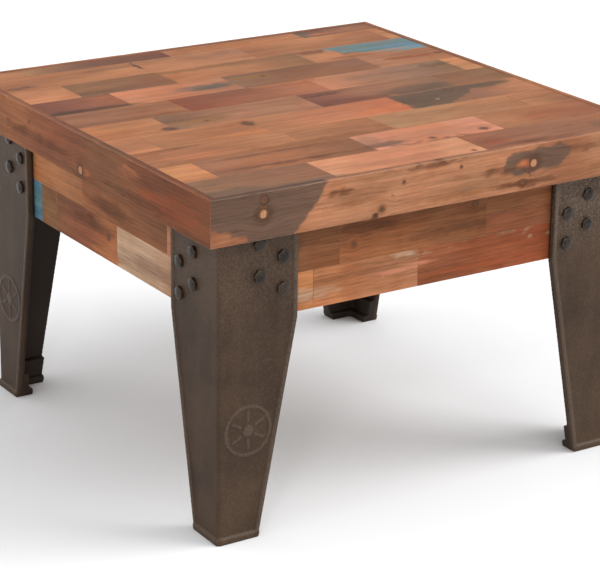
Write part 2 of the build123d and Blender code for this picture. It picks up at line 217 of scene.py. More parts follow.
def timber_tree():
    """Boards grown from one point each: a gridded block with worn, rounded arrises."""
    tree = Group("timbers", (
        ("Boards", "Geometry"), ("Cells along", "Int"), ("Cells across", "Int"), ("Arris", "Float"),
        ("Joint", "Float"), ("Waviness", "Float"), ("Out of level", "Float"), ("Mitre", "Float"),
        ("Seed", "Int"), ("Material", "Material")))
    given = tree.given
    deep_cells = tree.add("ShaderNodeValue")
    deep_cells.socket.default_value = DEEP_CELLS
    cells = (given["Cells along"], given["Cells across"], deep_cells)
    counts = {f"Vertices {axis}": count + 1 for axis, count in zip("XYZ", cells)}
    cube = tree.add("GeometryNodeMeshCube", {"Size": (2, 2, 2), **counts}, "Mesh")
    place = tree.add("GeometryNodeInputPosition")
    block = tree.add("GeometryNodeStoreNamedAttribute", {"Geometry": cube, "Name": "unit", "Value": place},
                     data_type="FLOAT_VECTOR", domain="POINT")
    grown = tree.add("GeometryNodeInstanceOnPoints", {"Points": given["Boards"], "Instance": block})
    real = tree.add("GeometryNodeRealizeInstances", {"Geometry": grown})
    unit, size = tree.named("unit", "FLOAT_VECTOR"), tree.named("size", "FLOAT_VECTOR")
    piece = tree.named("piece", "INT")
    seed_step = given["Seed"] * 0.61
    noise_at = tree.vector("ADD", place, tree.combine(seed_step, seed_step, piece))
    half = tree.vector("MULTIPLY", size, (0.5, 0.5, 0.5))
    halves = tree.split(half)
    spots = tree.vector("ADD", noise_at, tree.vector("MULTIPLY", unit, half))
    wear = tree.add("ShaderNodeTexNoise", {"Vector": spots, "Scale": 55.0, "Detail": 3.0})
    arris = (given["Arris"] * wear.line(2.4, -0.35)).math("MAXIMUM", given["Arris"] * 0.3)
    parts = tree.split(unit)
    arris = arris * parts[2].steps(-0.5, 0.5, 0.3, 1.0)
    sizes = [part.math("ABSOLUTE") for part in parts]
    outer = [extent.above(0.999) for extent in sizes]
    pull = arris * ((outer[0] + outer[1] + outer[2]).above(1.5) * 0.3)

    def spread(axis, reach):
        line = ((1.0 - sizes[axis]) * (cells[axis] * 0.5)).math("ROUND")
        core = (reach - arris * 2.5) * (sizes[axis] / (1.0 - 4.0 / cells[axis]))
        rim = reach - line * arris - pull * outer[axis]
        chosen = tree.add("GeometryNodeSwitch", {"Switch": line.above(1.5), "False": rim, "True": core},
                          input_type="FLOAT")
        return chosen * parts[axis].math("SIGN")

    deep = spread(2, halves[2])
    long_half = halves[0] - given["Joint"] - given["Mitre"] * (halves[2] - deep)
    drop = tree.add("FunctionNodeRandomValue", {2: 0.0, 3: 1.0, "ID": piece, "Seed": given["Seed"]},
                    data_type="FLOAT")
    drop = drop * given["Out of level"] * parts[2].above(0.0)
    shaped = tree.combine(spread(0, long_half), spread(1, halves[1] - given["Joint"]), deep - drop)
    ripple = tree.add("ShaderNodeTexNoise", {"Vector": spots, "Scale": 26.0, "Detail": 2.0}, "Color")
    ripple = tree.scale(tree.vector("SUBTRACT", ripple, (0.5, 0.5, 0.75)), given["Waviness"])
    shaped = tree.vector("ADD", tree.vector("ADD", tree.vector("SUBTRACT", place, unit), shaped), ripple)
    moved = tree.add("GeometryNodeSetPosition", {"Geometry": real, "Position": shaped})
    return tree.finish(tree.add("GeometryNodeSetShadeSmooth", {"Geometry": moved}))


TIMBER_TREE = timber_tree()


def grow(name, points, attributes, tree, inputs):
    """Run a Geometry Nodes tree on bare points and return the result as a plain mesh."""
    source = bpy.data.meshes.new(name + "_points")
    source.from_pydata([tuple(point) for point in points], [], [])
    for label, kind, values in attributes:
        layer = source.attributes.new(label, kind, "POINT")
        layer.data.foreach_set("vector" if kind == "FLOAT_VECTOR" else "value", np.ravel(values))
    holder = bpy.data.objects.new(name + "_points", source)
    bpy.context.scene.collection.objects.link(holder)
    modifier = holder.modifiers.new("nodes", "NODES")
    modifier.node_group = tree
    for item in tree.interface.items_tree:
        if item.in_out == "INPUT" and item.name in inputs:
            modifier[item.identifier] = inputs[item.name]
    graph = bpy.context.evaluated_depsgraph_get()
    mesh = bpy.data.meshes.new_from_object(holder.evaluated_get(graph), preserve_all_data_layers=True,
                                           depsgraph=graph)
    mesh.name = name
    holder.modifiers.remove(modifier)
    bpy.data.objects.remove(holder)
    return mesh


def tone(name):
    """A wood or paint colour under its amber oil, as the shader wants it."""
    return np.array([(part / 255.0) ** GAMMA * oil for part, oil in zip(WOODS[name], OILED)])


def soft(low, high, value):
    """A smooth step from 0 at low to 1 at high."""
    share = np.clip((value - low) / (high - low), 0.0, 1.0)
    return share * share * (3 - 2 * share)


def put(mesh, label, kind, values):
    """Store one value per vertex under a name."""
    layer = mesh.attributes.new(label, kind, "POINT")
    field = {"FLOAT_COLOR": "color", "FLOAT_VECTOR": "vector", "FLOAT": "value"}[kind]
    layer.data.foreach_set(field, np.ascontiguousarray(values, dtype=np.float32).ravel())


def wood_tones(woods, unit, piece):
    """The colour of each vertex of a run: a board's woods run from its left end to its right end."""
    base = np.zeros((len(piece), 3))
    for index in range(piece.max() + 1):
        mine = piece == index
        colours = [tone(name) for name in woods[index % len(woods)]]
        step = (unit[mine, 0] + 1) / 2 * (len(colours) - 1)
        for band in range(max(1, len(colours) - 1)):
            share = soft(0.0, 1.0, step - band)[:, None]
            left, right = colours[band], colours[min(band + 1, len(colours) - 1)]
            inside = (step >= band)[:, None]
            base[mine] = np.where(inside, left * (1 - share) + right * share, base[mine])
    return base


def stain_marks(stains, along, down):
    """The colour and strength of each vertex's stain: an oval (along, down, reach along, reach down)
    or a clockwise outline, with its colour and strength, in millimetres from the upper left corner."""
    mark = np.zeros((len(along), 4))
    for shape, name, strength in stains:
        if isinstance(shape[0], tuple):
            inside = np.full(len(along), 1e9)
            for (x1, y1), (x2, y2) in zip(shape, shape[1:] + shape[:1]):
                run = math.hypot(x2 - x1, y2 - y1)
                inside = np.minimum(inside, ((x2 - x1) * (down - y1) - (y2 - y1) * (along - x1)) / run)
            share = strength * soft(*STAIN_EDGE, inside)
        else:
            centre, drop, reach, fall = shape
            away = np.hypot((along - centre) / reach, (down - drop) / fall)
            share = strength * (1 - soft(*STAIN_FADE, away))
        share = share[:, None]
        total = 1 - (1 - mark[:, 3:]) * (1 - share)
        weight = np.divide(share, total, out=np.zeros_like(share), where=total > 0)
        mark[:, :3] = mark[:, :3] * (1 - weight) + tone(name) * weight
        mark[:, 3:] = total
    return mark


def knot_gaps(knots, along, down):
    """How far each vertex lies from its nearest knot, (along, down, radius), and that knot's radius."""
    gap = np.full((len(along), 3), (1.0, 1.0, MM))
    nearest = np.full(len(along), 1e9)
    for centre, drop, radius in knots:
        distance = np.hypot(along - centre, down - drop)
        closer = distance < nearest
        gap[closer] = np.stack([(along - centre) * MM, (down - drop) * MM,
                                np.full(len(along), radius * MM)], 1)[closer]
        nearest = np.minimum(nearest, distance)
    return gap


def paint(mesh, high, woods, stains, knots, seed):
    """Give the boards of a run the marks that their material reads."""
    count = len(mesh.vertices)
    at = np.zeros(count * 3)
    mesh.vertices.foreach_get("co", at)
    at = at.reshape(-1, 3)
    unit, piece = np.zeros(count * 3, np.float32), np.zeros(count, np.int32)
    mesh.attributes["unit"].data.foreach_get("vector", unit)
    mesh.attributes["piece"].data.foreach_get("value", piece)
    unit = unit.reshape(-1, 3)
    along, down = (at[:, 0] - at[:, 0].min()) / MM, (high - at[:, 1]) / MM
    wander = np.array([noise.noise_vector(Vector((x / 14 + seed, y / 7, seed * 0.37)))[:2]
                       for x, y in zip(along, down)]) * STAIN_WANDER
    offset = np.stack([piece * 1.37 + seed * 0.71, piece * 0.83 + seed * 0.29, piece * 0.57], 1)
    base = wood_tones(woods, unit, piece)
    put(mesh, "tone", "FLOAT_COLOR", np.concatenate([base, np.ones((count, 1))], 1))
    put(mesh, "stain", "FLOAT_COLOR", stain_marks(stains, along + wander[:, 0], down + wander[:, 1]))
    put(mesh, "knot", "FLOAT_VECTOR", knot_gaps(knots, along, down))
    put(mesh, "grain", "FLOAT_VECTOR", np.stack([along * MM, down * MM, at[:, 2]], 1) + offset)
    put(mesh, "worn", "FLOAT", ((np.abs(unit) > 0.999).sum(1) >= 2).astype(float))
    # Painted shade: 'sunk' marks the lower sides and undersides of each board, which the material darkens as
    # if shaded in the joints.
    put(mesh, "sunk", "FLOAT", np.where(unit[:, 2] > 0.1, 0.0, np.where(unit[:, 2] > -0.1, 0.5, 1.0)))


def chip(mesh, high, chips):
    """Knock small hollows into the face of a run: (along, down, radius, depth) in millimetres."""
    left = min(vertex.co.x for vertex in mesh.vertices)
    face = max(vertex.co.z for vertex in mesh.vertices)
    for along, down, radius, depth in chips:
        for vertex in mesh.vertices:
            away = math.hypot((vertex.co.x - left) / MM - along, (high - vertex.co.y) / MM - down)
            if away < radius and vertex.co.z > face - 4 * MM:
                vertex.co.z -= depth * MM * (1 - (away / radius) ** 2)


def timber_material(name, figure=1.0, wear=1.0, gloss=0.55, relief=0.45):
    """Wood painted from a board's own marks: grain, growth rings, pores, knots, stains and wear, with painted
    shade down each board's sides and underside.
    """
    wood = Surface(name, gloss, specular=0.1)
    colour = wood.attribute("tone", "Color")
    stain, strength = wood.attribute("stain", "Color"), wood.attribute("stain", "Alpha")
    away = wood.split(wood.attribute("knot", "Vector"))
    reach = [gap.math("ABSOLUTE").math("POWER", 2.0) for gap in away[:2]]
    reach = (reach[0] + reach[1]).math("SQRT") / away[2]
    swirl = reach.steps(4.5, 0.6) * -0.8
    grain = wood.vector("ADD", wood.attribute("grain", "Vector"), wood.combine(y=away[1] * swirl))

    streaks = wood.noise(grain, (7.0, 150.0, 150.0), 6.0, 0.62, 0.25)
    broad = wood.noise(grain, (3.5, 22.0, 22.0), 3.0, 0.5, 0.4)
    fibres = wood.noise(grain, (45.0, 1300.0, 1300.0), 2.0, 0.5)
    blotch = wood.noise(grain, (16.0, 34.0, 34.0), 4.0, 0.6, 0.6)
    cool = wood.noise(wood.vector("ADD", grain, (3.1, 1.7, 0.4)), (9.0, 48.0, 48.0), 4.0, 0.6)
    pores = wood.noise(grain, (28.0, 900.0, 900.0), 1.0, 0.5).steps(0.62, 0.72)
    tilted = wood.add("ShaderNodeMapping", {"Vector": grain, "Location": (0.0, 0.031, 0.043),
                                            "Rotation": (0.0, 0.05, 0.035)})
    rings = wood.add("ShaderNodeTexWave", {"Vector": tilted, "Scale": 62.0, "Distortion": 5.5, "Detail": 2.5,
                                           "Detail Scale": 0.35}, "Fac",
                     wave_type="RINGS", rings_direction="X", wave_profile="SAW")

    def swing(field, amount):
        return field.line(amount * figure, -amount * figure / 2)

    shade = swing(streaks, 1.15) + swing(broad, 0.9) + (swing(fibres, 0.4) + swing(rings, 0.16))
    shade = shade + 1.0 - pores * (0.22 * figure)
    warm = wood.tint(blotch.steps(0.38, 0.72, 0.0, 0.6 * figure), colour, (0.80, 0.66, 0.56, 1.0))
    warm = wood.tint(cool.steps(0.48, 0.75, 0.0, 0.5 * figure), warm, (0.78, 0.84, 0.84, 1.0))
    ragged = streaks.line(1.1, blotch.line(0.9, -1.0))
    cover = (strength + ragged).steps(0.0, 0.9, 0.0, 0.92) * strength.steps(0.0, 0.25)
    grained = wood.scale(wood.mix(cover, warm, stain), shade)

    ringed = reach.line(9.0, streaks * 5.0).math("SINE")
    heart = wood.mix(ringed.line(0.25, 0.5), (0.050, 0.022, 0.012, 1.0), (0.16, 0.075, 0.04, 1.0))
    edge = reach * broad.line(0.5, 0.75)
    halo = wood.tint(edge.steps(2.3, 1.0, 0.0, 0.55), grained, (0.55, 0.42, 0.36, 1.0))
    knotted = wood.mix(edge.steps(1.15, 0.85), halo, heart)
    rub = wood.attribute("worn") * blotch.steps(0.38, 0.62, 0.15, 0.8 * wear)
    rubbed = wood.mix(rub, knotted, wood.mix(0.6, knotted, (0.56, 0.36, 0.24, 1.0)))
    # Painted shade: darker down the sides and undersides of each board, where the joints fall into shade.
    joint_shaded = wood.tint(wood.attribute("sunk"), rubbed, (0.52, 0.45, 0.40, 1.0))

    sheen = streaks.line(0.25, gloss - 0.12) + cover * 0.08
    height = streaks.line(0.9, fibres * 0.35) + (pores + reach.steps(1.1, 0.4)) * -0.35
    return wood.finish(joint_shaded, height, relief, 0.0006, sheen)


def corners(node, matrix):
    """A CAD node's vertices in a run's own frame, in metres."""
    inverse = matrix.inverted()
    return np.array([inverse @ vertex.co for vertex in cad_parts[node].data.vertices])


def cuts_of(places):
    """Where the boards of a run meet, from the CAD vertices along its upper outer edge."""
    edge = places[(places[:, 1] > places[:, 1].max() - SAME_POINT)
                  & (places[:, 2] > places[:, 2].max() - SAME_POINT)]
    found = []
    for value in np.sort(edge[:, 0]):
        if not found or value - found[-1] > MM:
            found.append(value)
    return found


def show(name, mesh, slot, *nodes):
    """Stand a finished mesh in the scene in place of its CAD nodes."""
    piece = bpy.data.objects.new(name, mesh)
    bpy.context.scene.collection.objects.link(piece)
    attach(piece, "root")
    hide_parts(*nodes)


def joined(name, meshes):
    """Several meshes made one, with their attributes and materials."""
    objects = [bpy.data.objects.new(part.name, part) for part in meshes]
    for part in objects:
        bpy.context.scene.collection.objects.link(part)
    with bpy.context.temp_override(active_object=objects[0], selected_editable_objects=objects):
        if len(objects) > 1:
            bpy.ops.object.join()
    mesh = objects[0].data
    mesh.name = name
    bpy.data.objects.remove(objects[0])
    return mesh


def boards(name, node, matrix, slot, material, woods, stains=(), knots=(), seed=0, level=OUT_OF_LEVEL,
           arris=ARRIS, mitre=0.0, joint=JOINT, waviness=WAVINESS, rip=None, cell=CELL, chips=()):
    """Grow, colour and place one run of boards where its CAD node is."""
    places = corners(node, matrix)
    low, high = places.min(0), places.max(0)
    cuts = cuts_of(places)
    spans = [(left, right, low[1], high[1]) for left, right in zip(cuts, cuts[1:])]
    if rip is not None:
        left, right, bottom, top = spans.pop()
        spans += [(left, right, top - rip, top), (left, right, bottom, top - rip)]
    meshes = []
    for index, (left, right, bottom, top) in enumerate(spans):
        size = (right - left, top - bottom, high[2] - low[2])
        centre = ((left + right) / 2, (bottom + top) / 2, (low[2] + high[2]) / 2)
        cells = [max(least, round(extent / cell)) for least, extent in zip(LEAST_CELLS, size)]
        meshes.append(grow(f"{name}_{index}", [centre], [
            ("size", "FLOAT_VECTOR", size), ("piece", "INT", [index])], TIMBER_TREE, {
                "Cells along": cells[0], "Cells across": cells[1], "Arris": arris, "Joint": joint,
                "Waviness": waviness, "Out of level": level, "Mitre": mitre, "Seed": seed,
                "Material": material}))
    mesh = joined(name, meshes)
    chip(mesh, high[1], chips)
    paint(mesh, high[1], woods, stains, knots, seed)
    mesh.transform(matrix)
    show(name, mesh, slot, node)


TOP_WOOD = timber_material("reclaimed_top_wood")

TOP_WOODS = [
    [("light orange", "tan"), ("olive tan", "plum brown", "plum"), ("tan", "orange tan", "tan"),
     ("blue slate", "plum brown", "mauve brown", "brown")],
    [("warm brown", "tan"), ("tan", "mauve tan"), ("warm brown", "tan", "warm brown"), ("light orange",)],
    [("peach tan",), ("olive brown", "brown"), ("orange tan", "tan", "olive brown"), ("tan", "peach tan"),
     ("tan", "mauve tan")],
    [("plum", "rust brown"), ("salmon", "salmon tan", "mauve tan"), ("grey brown", "brown", "mauve brown"),
     ("mauve tan", "warm brown")],
    [("mauve brown", "warm brown"), ("rust", "rust brown", "salmon tan"),
     ("salmon", "mauve tan", "pink grey", "olive brown"), ("light orange",)],
    [("orange tan", "tan"), ("grey brown", "mauve tan", "mauve tan"), ("plum", "mauve brown", "grey brown"),
     ("brown", "olive brown")],
    [("peach tan",), ("tan", "orange tan"), ("tan", "salmon tan", "red orange"),
     ("olive brown", "mauve brown", "peach tan")],
    [("warm brown", "tan"), ("tan", "warm brown"), ("olive tan", "tan"), ("tan", "warm brown")],
    [("light orange",), ("mauve brown", "warm brown", "brown"), ("pink", "salmon", "pink"),
     ("tan", "warm brown", "rust brown")],
    [("grey brown", "mauve brown"), ("pale peach", "salmon", "pale peach"),
     ("rust brown", "mauve brown", "warm brown")],
]
TOP_STAINS = {
    0: [((340, 12, 60, 10), "warm brown", 0.5), ((560, 22, 50, 8), "salmon tan", 0.5)],
    1: [((22, 55, 34, 7), "soot", 0.5), ((214, 24, 4, 22), "soot", 0.9),
        ((130, 18, 80, 12), "warm brown", 0.5), ((420, 50, 120, 10), "warm brown", 0.5)],
    2: [(((440, 0), (492, 0), (486, 20), (446, 18)), "plum brown", 0.9),
        (((486, -4), (632, -4), (632, 66), (575, 66), (500, 34)), "teal", 0.78),
        (((560, 26), (632, 18), (632, 60), (585, 60)), "teal blue", 0.7),
        ((300, 12, 150, 8), "olive brown", 0.7), ((150, 50, 90, 10), "brown", 0.5),
        ((560, 52, 50, 5), "orange tan", 0.6), ((500, 58, 40, 8), "rust brown", 0.6)],
    3: [((50, 62, 90, 12), "soot", 0.7), ((238, 36, 56, 15), "blue slate", 0.75),
        ((575, 33, 80, 4), "rust", 0.8), ((320, 20, 46, 16), "olive brown", 0.6),
        ((460, 52, 100, 8), "brown", 0.5)],
    4: [((480, 34, 70, 18), "pink grey", 0.7), ((575, 20, 34, 12), "olive slate", 0.6),
        (((280, -3), (390, -3), (390, 8), (290, 12)), "salmon tan", 0.8), ((60, 58, 120, 8), "brown", 0.6)],
    5: [((152, 40, 52, 18), "olive brown", 0.75), ((98, 56, 14, 8), "soot", 0.6),
        (((330, 40), (430, 52), (430, 68), (326, 68)), "plum", 0.6),
        ((480, 48, 70, 20), "olive slate", 0.7), ((352, 14, 40, 4), "soot", 0.5),
        ((60, 14, 50, 8), "warm brown", 0.4)],
    6: [(((418, -4), (560, -4), (532, 34), (478, 68), (418, 68)), "olive slate", 0.85),
        ((560, 12, 60, 12), "olive slate", 0.85), ((470, 20, 44, 12), "slate", 0.6),
        ((474, 38, 5, 2), "chalk", 0.8), ((196, 20, 10, 14), "soot", 0.5),
        ((380, 50, 50, 10), "red orange", 0.5)],
    7: [((225, 60, 130, 12), "brown", 0.65), ((60, 40, 46, 22), "salmon tan", 0.5),
        ((70, 2, 60, 4), "dark brown", 0.5)],
    8: [((296, 50, 36, 12), "slate", 0.7), ((284, 24, 20, 22), "pink grey", 0.6),
        ((130, 8, 120, 6), "dark brown", 0.5), ((170, 52, 130, 5), "dark brown", 0.6),
        ((565, 40, 64, 22), "rust brown", 0.8), ((360, 64, 80, 4), "dark brown", 0.6)],
    9: [((24, 54, 60, 12), "slate", 0.6), ((120, 62, 90, 6), "blue slate", 0.6),
        ((460, 60, 70, 8), "dark brown", 0.5), ((590, 40, 30, 18), "slate", 0.45),
        ((420, 40, 26, 12), "rust", 0.5)],
}
TOP_KNOTS = {
    1: [(34, 50, 3.4), (215, 24, 3.0)],
    3: [(338, 22, 2.4), (622, 33, 4.0)],
    5: [(98, 56, 4.5), (158, 46, 2.6)],
    6: [(197, 14, 5.0), (478, 26, 3.2), (512, 10, 4.0)],
    8: [(360, 55, 4.0), (441, 52, 5.5)],
    9: [(372, 58, 3.0)],
}
for row, woods in enumerate(TOP_WOODS):
    label = f"top_stave_row_{row + 1:02d}"
    boards(label + "_wood", label, Matrix.Identity(4), "top_wood", TOP_WOOD, woods, TOP_STAINS.get(row, ()),
           TOP_KNOTS.get(row, ()), seed=row + 1)

# ---- Edge boards -----------------------------------------------------------------------------------
# Four planed boards of old teak-brown timber, one on edge along each side of the slab, mitred at
# the corners and glued to the core panel, with turned plugs let into the front and left boards.

SIDES = ("front", "right", "back", "left")
EDGE_ARRIS = 0.5 * MM
EDGE_CELL = 3.0 * MM
EDGE_WOOD = timber_material("reclaimed_edge_wood", figure=1.1, wear=1.5)
EDGE_WOODS = {
    "front": [
        ("faded brown", "faded brown", "faded peach", "faded tan", "faded peach", "faded tan",
         "faded peach", "faded brown", "faded tan", "faded brown")],
    "right": [("warm brown", "tan", "brown", "warm brown")],
    "back": [("brown", "warm brown", "tan", "warm brown")],
    "left": [("brown", "warm brown", "rust brown", "brown", "umber", "umber")],
}
EDGE_STAINS = {
    "front": [(((44, -6), (160, -6), (148, 18), (108, 64), (48, 64), (44, 40)), "slate", 0.92),
        (((-8, -6), (62, -6), (62, 56), (44, 50), (-8, 40)), "slate", 0.92),
        ((70, 20, 60, 14), "slate", 0.6),
        (((430, 6), (500, 3), (518, 12), (518, 22), (500, 34), (436, 38), (416, 28), (416, 14)),
         "slate", 0.95),
        ((466, 20, 44, 13), "soot", 0.3), ((447, 24, 15, 4.5), "red orange", 0.85),
        ((448, 47, 58, 5), "dark brown", 0.7), ((178, 17, 24, 4), "dark brown", 0.6),
        ((404, 26, 30, 5), "dark brown", 0.6), ((304, 3, 74, 4), "dark brown", 0.7),
        ((225, 54, 6, 4), "soot", 1.0), ((190, 32, 40, 5), "brown", 0.6),
        ((560, 14, 60, 5), "dark brown", 0.5), ((590, 40, 50, 8), "brown", 0.6),
        ((340, 46, 90, 5), "brown", 0.5)],
    "left": [((455, 16, 34, 8), "salmon tan", 0.6), ((331, 46, 30, 8), "salmon tan", 0.5),
        ((560, 34, 90, 18), "rust", 0.4), ((200, 34, 120, 8), "dark brown", 0.5),
        ((480, 44, 120, 6), "dark brown", 0.5)],
    "right": [((180, 20, 60, 12), "slate", 0.6), ((520, 38, 50, 10), "dark brown", 0.6)],
    "back": [((300, 24, 80, 16), "olive slate", 0.6), ((120, 40, 70, 7), "dark brown", 0.5)],
}
EDGE_KNOTS = {
    "front": [(71, 9, 4.2), (70, 26, 7.6), (461, 24, 7.6), (235, 47, 4.2), (266, 18, 2.2), (350, 12, 2.2),
        (445, 46, 4.0)],
    "left": [(331, 46, 7.8), (190, 18, 2.5)],
    "right": [(420, 20, 4.5), (150, 44, 3.0)],
    "back": [(210, 40, 5.0), (500, 18, 3.5)],
}
EDGE_CHIPS = {
    "front": [(225, 56, 7.0, 2.6), (71, 9, 4.0, 0.9), (445, 46, 3.5, 0.6), (350, 1, 5.0, 1.0),
        (262, 1, 6.0, 0.8)],
    "left": [(560, 56, 6.0, 1.2), (120, 1, 7.0, 0.9)],
    "right": [(300, 56, 7.0, 1.2)],
    "back": [(410, 1, 6.0, 1.0)],
}


def facing(side):
    """A side's own frame: X to its right as seen from outside, Y up and Z outwards."""
    turn = Matrix.Rotation(math.radians(90.0 * SIDES.index(side)), 4, "Z")
    return turn @ Matrix.Rotation(math.radians(90.0), 4, "X")


for order, side in enumerate(SIDES):
    boards(f"{side}_edge_board_wood", f"{side}_edge_board", facing(side), "edge_wood", EDGE_WOOD,
           EDGE_WOODS[side], EDGE_STAINS[side], EDGE_KNOTS[side], seed=40 + order, level=0.0,
           arris=EDGE_ARRIS, mitre=1.0, joint=0.0, cell=EDGE_CELL, chips=EDGE_CHIPS[side])

# ---- Apron cladding --------------------------------------------------------------------------------
# Two courses of the same old staves on each side, glued over the apron boards. Some keep scraps of
# their old paint.

RIPPED = 36.0 * MM
APRON_OUT_OF_LEVEL = 0.8 * MM
APRON_WOOD = timber_material("reclaimed_apron_wood", figure=1.15)
APRON_WOODS = {
    "front_upper": [("grey brown", "brown"), ("warm brown", "brown"), ("brown", "warm brown"),
        ("rust brown", "mauve brown")],
    "front_lower": [("salmon tan", "light orange"), ("peach tan", "mauve tan"), ("rust brown", "rust")],
    "left_upper": [("light orange", "light orange", "tan"), ("warm brown", "brown"),
        ("salmon", "pale peach")],
    "left_lower": [("teal blue",), ("olive brown",), ("brown", "rust brown", "orange tan"),
        ("chalk", "faded tan")],
    "back_upper": [("tan", "warm brown"), ("mauve brown", "brown"), ("peach tan", "orange tan")],
    "back_lower": [("rust brown", "plum brown"), ("tan", "olive tan"), ("grey brown", "mauve tan")],
    "right_upper": [("brown", "warm brown"), ("salmon tan", "tan"), ("olive brown", "grey brown")],
    "right_lower": [("peach tan",), ("plum brown", "rust brown"), ("tan", "warm brown"),
        ("teal", "grey brown")],
}
APRON_STAINS = {
    "front_lower": [((415, 3, 45, 3), "chalk", 0.5), ((446, 10, 44, 2.5), "chalk", 0.5),
        ((500, 13, 28, 6), "chalk", 0.7), ((280, 4, 90, 3), "chalk", 0.5), ((110, 30, 60, 9), "chalk", 0.5),
        ((410, 36, 130, 8), "rust", 0.7), ((250, 20, 60, 8), "pink", 0.5)],
    "front_upper": [((200, 20, 60, 10), "dark brown", 0.6), ((330, 46, 90, 7), "dark brown", 0.5),
        ((480, 40, 60, 8), "rust brown", 0.6)],
    "left_upper": [((300, 40, 70, 12), "dark brown", 0.6), ((462, 30, 5, 34), "dark brown", 0.8),
        ((120, 16, 60, 8), "warm brown", 0.5)],
    "left_lower": [((70, 20, 50, 20), "teal", 0.8), ((300, 44, 60, 8), "orange tan", 0.6),
        ((260, 14, 70, 8), "dark brown", 0.5), ((420, 30, 60, 10), "pink grey", 0.5)],
    "back_lower": [((300, 20, 90, 14), "teal", 0.7), ((120, 30, 60, 8), "chalk", 0.5)],
    "right_lower": [((500, 24, 70, 22), "teal blue", 0.8), ((200, 12, 90, 6), "chalk", 0.6)],
}
APRON_KNOTS = {
    "front_upper": [(180, 40, 3.0), (360, 18, 3.5)],
    "left_lower": [(300, 22, 3.5)],
    "back_upper": [(260, 30, 5.0)],
    "right_upper": [(300, 24, 4.0)],
}
for order, side in enumerate(SIDES):
    for below, course in enumerate(("upper", "lower")):
        run = f"{side}_{course}"
        boards(f"{side}_apron_{course}_wood", f"{side}_apron_{course}_staves", facing(side), "apron_wood",
               APRON_WOOD, APRON_WOODS[run], APRON_STAINS.get(run, ()), APRON_KNOTS.get(run, ()),
               seed=60 + 2 * order + below, level=APRON_OUT_OF_LEVEL,
               rip=RIPPED if run == "front_upper" else None)

# ---- Underframe ------------------------------------------------------------------------------------
# New sawn softwood that is out of sight: rails and battens screwed up into the core panel, boards
# behind the cladding, corner posts for the bolts, and cleats that tie the apron to the rails.

CORNERS = ("front_left", "front_right", "back_right", "back_left")
FRAME_WOOD = timber_material("sawn_frame_wood", figure=0.8, wear=0.3, gloss=0.62, relief=0.5)
PINE = [("new pine", "new oak"), ("new oak", "new pine")]
LYING = Matrix.Rotation(math.radians(90.0), 4, "Z")
UPRIGHT = LYING @ Matrix.Rotation(math.radians(90.0), 4, "Y")
SAWN = {"slot": "frame_wood", "material": FRAME_WOOD, "level": 0.0, "arris": 0.8 * MM, "joint": 0.0,
        "waviness": 0.06 * MM}
for order, side in enumerate(SIDES):
    lie = Matrix.Rotation(facing(side).to_euler().z, 4, "Z")
    boards(f"{side}_rail_wood", f"{side}_rail", lie, woods=PINE, seed=80 + order,
           knots=[(150 + 90 * order, 40, 6.0), (420 - 60 * order, 66, 4.5)], **SAWN)
    boards(f"{side}_apron_board_wood", f"{side}_apron_board", facing(side), woods=PINE[1:],
           knots=[(230 + 40 * order, 30, 5.0), (90, 80, 3.5)], seed=90 + order, **SAWN)
    boards(f"{side}_cleat_wood", f"{side}_cleat", facing(side), woods=PINE, seed=100 + order, **SAWN)
for order, label in enumerate(("left_batten", "right_batten")):
    boards(f"{label}_wood", label, LYING, woods=PINE, knots=[(160, 20, 5.0)], seed=110 + order, **SAWN)
for order, corner in enumerate(CORNERS):
    boards(f"{corner}_post_wood", f"{corner}_post", UPRIGHT, woods=PINE[1:], seed=120 + order, **SAWN)

# ---- Core panel ------------------------------------------------------------------------------------
# One sheet of plywood under the staves. Its CAD shape stays, and shows its face veneer between the
# rails, with faint plies along its edges.


def core_material():
    ply = Surface("plywood", 0.62, specular=0.3)
    where = ply.place()
    figure = ply.noise(where, (22.0, 2.2, 60.0), 4.0, 0.6, 1.6)
    fibres = ply.noise(where, (700.0, 24.0, 700.0), 2.0)
    patches = ply.noise(where, (4.0, 3.0, 4.0), 2.0)
    base = ply.mix(figure, (0.50, 0.31, 0.16, 1.0), (0.62, 0.42, 0.24, 1.0))
    base = ply.mix(patches.steps(0.4, 0.7, 0.0, 0.5), base, (0.44, 0.26, 0.13, 1.0))
    base = ply.mix(fibres * 0.35, base, (0.30, 0.17, 0.08, 1.0))
    return ply.finish(base, fibres, 0.3, 0.0004)


core_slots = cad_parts["core_panel"].data.materials
core_slots.clear()
core_slots.append(core_material())

# ---- Plugs -----------------------------------------------------------------------------------------
# Turned end-grain plugs glued into the edge boards over old holes, sanded all but flush, each with
# a dark glue line round it.

PLUG_SIDES = 40
PLUG_RINGS = 6
PLUG_CROWN = 0.1 * MM
WELD = 0.002 * MM


def solids(node):
    """The lowest and highest corner of each separate solid of a CAD node."""
    shape = bmesh.new()
    shape.from_mesh(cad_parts[node].data)
    bmesh.ops.remove_doubles(shape, verts=shape.verts, dist=WELD)
    left, found = set(shape.verts), []
    for start in list(shape.verts):
        if start not in left:
            continue
        island, queue = [], [start]
        left.discard(start)
        while queue:
            vertex = queue.pop()
            island.append(vertex.co)
            for edge in vertex.link_edges:
                other = edge.other_vert(vertex)
                if other in left:
                    left.discard(other)
                    queue.append(other)
        places = np.array(island)
        found.append((places.min(0), places.max(0)))
    shape.free()
    return sorted(found, key=lambda box: tuple(np.round(box[0], 5)))


def ring(shape, places, **marks):
    """Vertices at even angles round Z from (radius, height) pairs, each with the named marks."""
    made = []
    for k, (radius, height) in enumerate(places):
        angle = 2 * math.pi * k / len(places)
        made.append(shape.verts.new((radius * math.cos(angle), radius * math.sin(angle), height)))
        for label, value in marks.items():
            made[-1][shape.verts.layers.float[label]] = value
    return made


